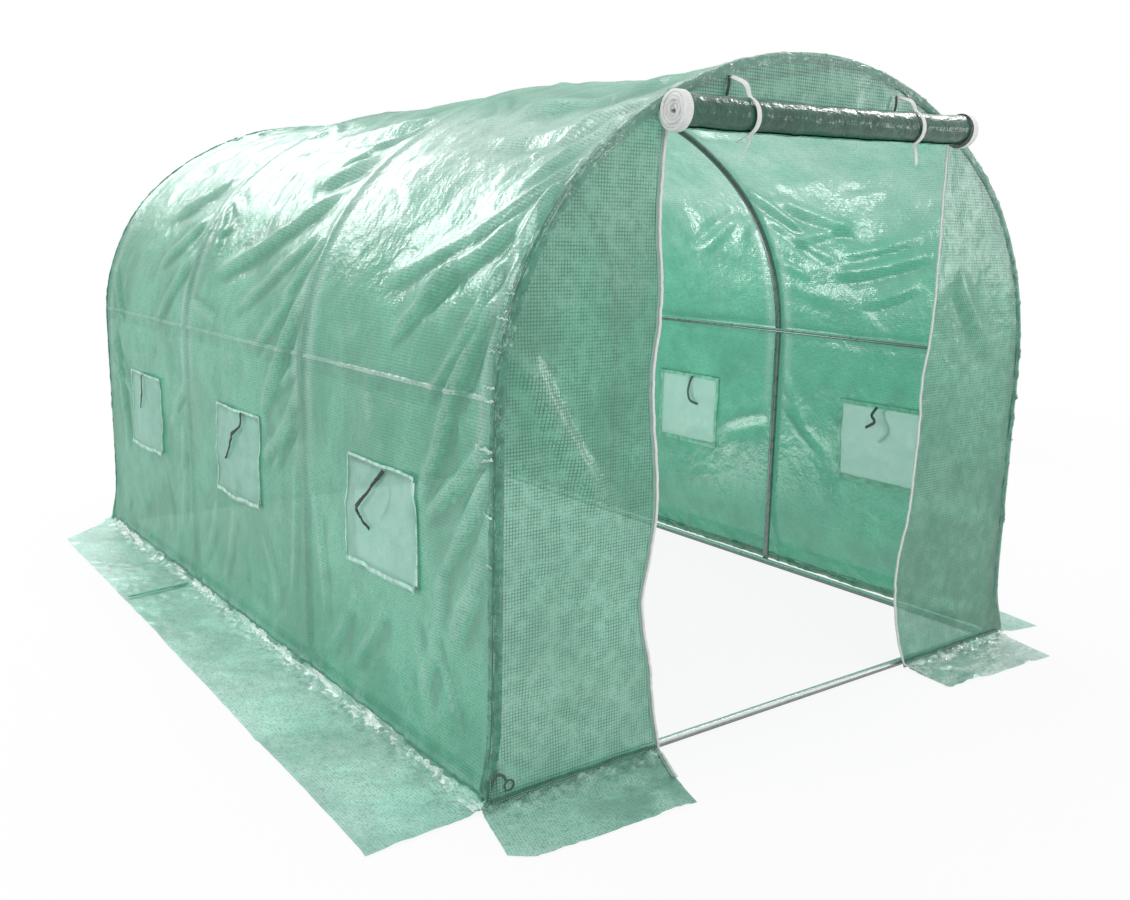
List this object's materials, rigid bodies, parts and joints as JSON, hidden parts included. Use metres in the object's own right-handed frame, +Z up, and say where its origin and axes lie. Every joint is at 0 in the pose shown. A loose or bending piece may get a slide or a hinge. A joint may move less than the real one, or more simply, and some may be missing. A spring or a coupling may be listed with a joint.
{
  "type": "walk-in polytunnel greenhouse",
  "caption": "Hooped steel tube frame under a green reinforced film cover, with an open zipped doorway, flap windows and ground skirts.",
  "frame": {"origin": "on the ground, at the middle of the footprint with its skirts", "axes": "+X across the tunnel, +Y from the door end to the closed end, +Z up"},
  "size_m": [2.5366, 3.4846, 1.735],
  "materials": {
    "steel_tube": "galvanised, dull",
    "green_film": "clear woven film, glossy",
    "skirt_film": "clear woven film, glossy",
    "rolled_film": "clear woven film in many layers, glossy",
    "clear_film": "clear milky film, glossy",
    "net": "fine green net",
    "white_tape": "white woven tape",
    "strap_webbing": "black webbing"
  },
  "bodies": {
    "root": {"back_wall": "green_film", "base_bar_back": "steel_tube", "base_bar_front": "steel_tube", "base_bar_left": "steel_tube", "base_bar_right": "steel_tube", "door_roll": "rolled_film", "door_ties": "white_tape", "door_zips": "white_tape", "front_wall_left": "green_film", "front_wall_over_door": "green_film", "front_wall_right": "green_film", "hoop_1_arch_left": "steel_tube", "hoop_1_arch_right": "steel_tube", "hoop_1_post_left": "steel_tube", "hoop_1_post_right": "steel_tube", "hoop_2_arch_left": "steel_tube", "hoop_2_arch_right": "steel_tube", "hoop_2_post_left": "steel_tube", "hoop_2_post_right": "steel_tube", "hoop_3_arch_left": "steel_tube", "hoop_3_arch_right": "steel_tube", "hoop_3_post_left": "steel_tube", "hoop_3_post_right": "steel_tube", "hoop_4_arch_left": "steel_tube", "hoop_4_arch_right": "steel_tube", "hoop_4_post_left": "steel_tube", "hoop_4_post_right": "steel_tube", "mid_bar_left": "steel_tube", "mid_bar_right": "steel_tube", "ridge_bar": "steel_tube", "skirt_back": "skirt_film", "skirt_front_left": "skirt_film", "skirt_front_right": "skirt_film", "skirt_left": "skirt_film", "skirt_right": "skirt_film", "tunnel_cover": "green_film", "window_flap_left_back": "clear_film", "window_flap_left_front": "clear_film", "window_flap_left_middle": "clear_film", "window_flap_right_back": "clear_film", "window_flap_right_front": "clear_film", "window_flap_right_middle": "clear_film", "window_nets_left": "net", "window_nets_right": "net", "window_straps_left": "strap_webbing", "window_straps_right": "strap_webbing"}
  },
  "joints": []
}
